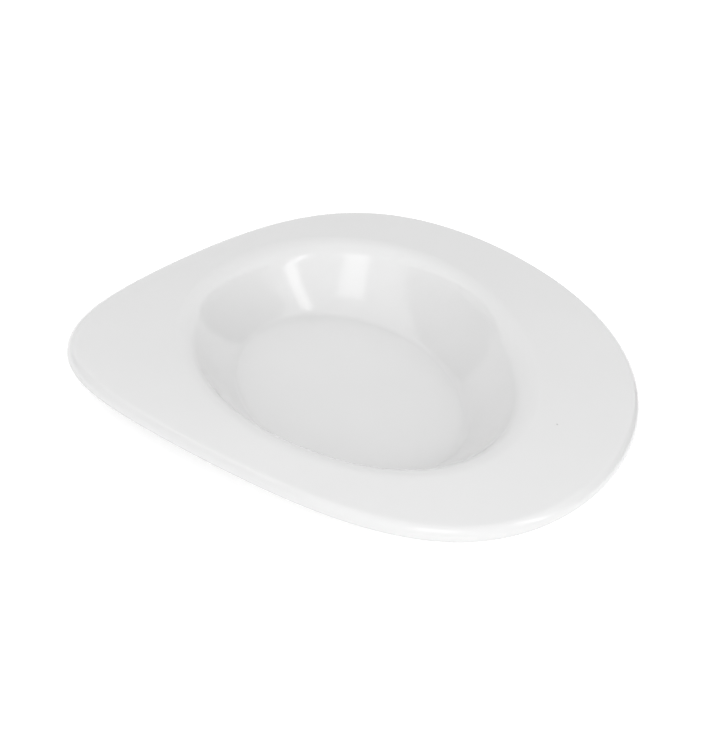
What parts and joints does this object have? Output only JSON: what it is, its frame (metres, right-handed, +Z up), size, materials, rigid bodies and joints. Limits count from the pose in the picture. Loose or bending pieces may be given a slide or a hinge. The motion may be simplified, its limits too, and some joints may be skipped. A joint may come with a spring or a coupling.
{
  "type": "bedpan",
  "caption": "Egg-shaped bedpan for a large patient: a wide tilted flange with a rolled lip round a sunken basin, moulded in one piece.",
  "frame": {"origin": "middle of the pan's outline, on the plane of the flat base that it stands on", "axes": "+X from the low blunt end to the high broad end, +Y across the pan, +Z up out of the basin"},
  "size_m": [0.395, 0.353, 0.052],
  "materials": {
    "white_polypropylene": "glossy white moulded polypropylene, faintly orange-peeled"
  },
  "bodies": {
    "root": {"pan": "white_polypropylene"}
  },
  "joints": []
}
